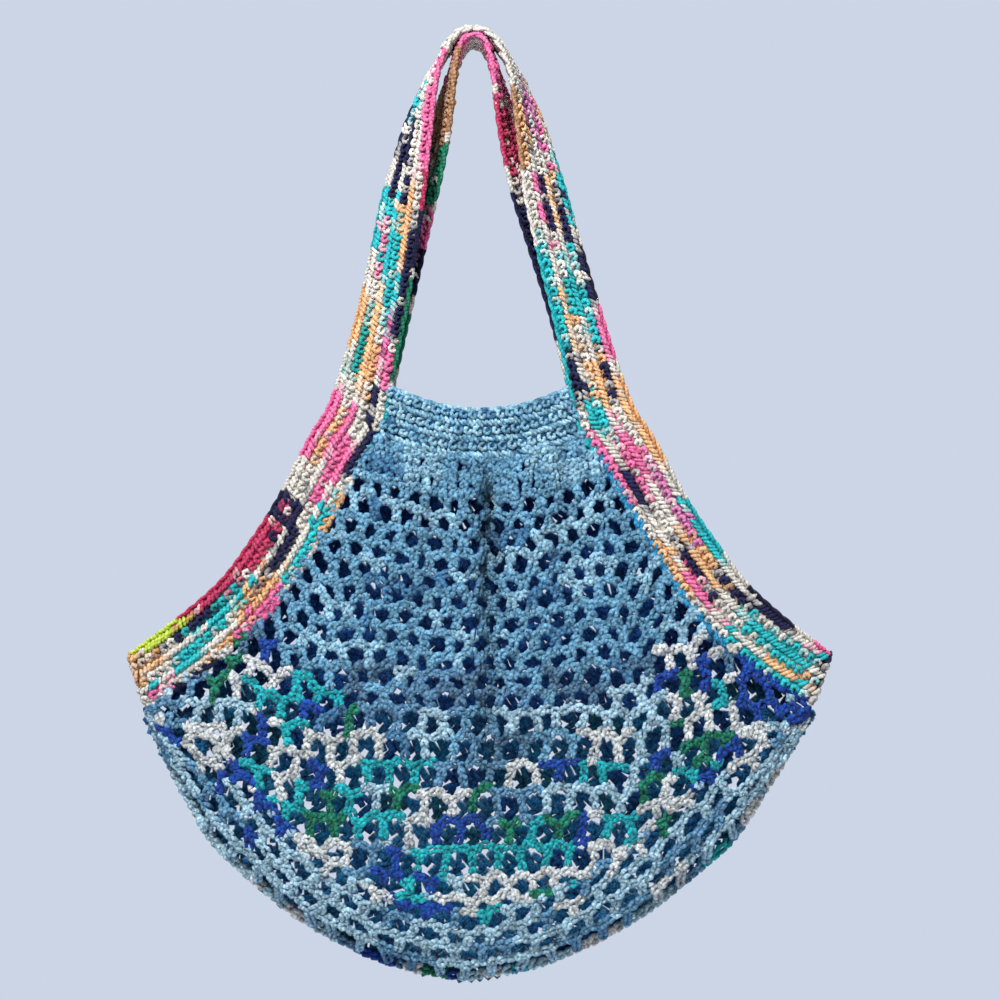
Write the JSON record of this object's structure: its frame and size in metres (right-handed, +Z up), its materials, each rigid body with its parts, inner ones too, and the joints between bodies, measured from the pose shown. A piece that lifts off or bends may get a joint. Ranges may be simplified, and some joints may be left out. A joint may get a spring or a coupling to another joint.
{
  "type": "mesh market bag",
  "caption": "Crocheted net shopping bag hung by its shoulder straps: rounded mesh body folded at the bottom, plain mouth bands and one broad strap edging.",
  "frame": {"origin": "under the top of the two strap arches, where the bag hangs", "axes": "+Z up, the front of the bag faces -Y, +X to the right of someone looking at the front"},
  "size_m": [0.4486, 0.0562, 0.6066],
  "materials": {
    "strap_yarn": "matt cotton yarn in close rows, changing between turquoise, navy, pink, cream, peach and green",
    "band_yarn": "matt heathered steel-blue cotton yarn in close rows",
    "net_yarn": "matt heathered cotton yarn, steel blue above and cream, turquoise, royal blue and green below"
  },
  "bodies": {
    "root": {"strap": "strap_yarn", "band_front": "band_yarn", "band_back": "band_yarn", "net_front": "net_yarn", "net_back": "net_yarn"}
  },
  "joints": []
}
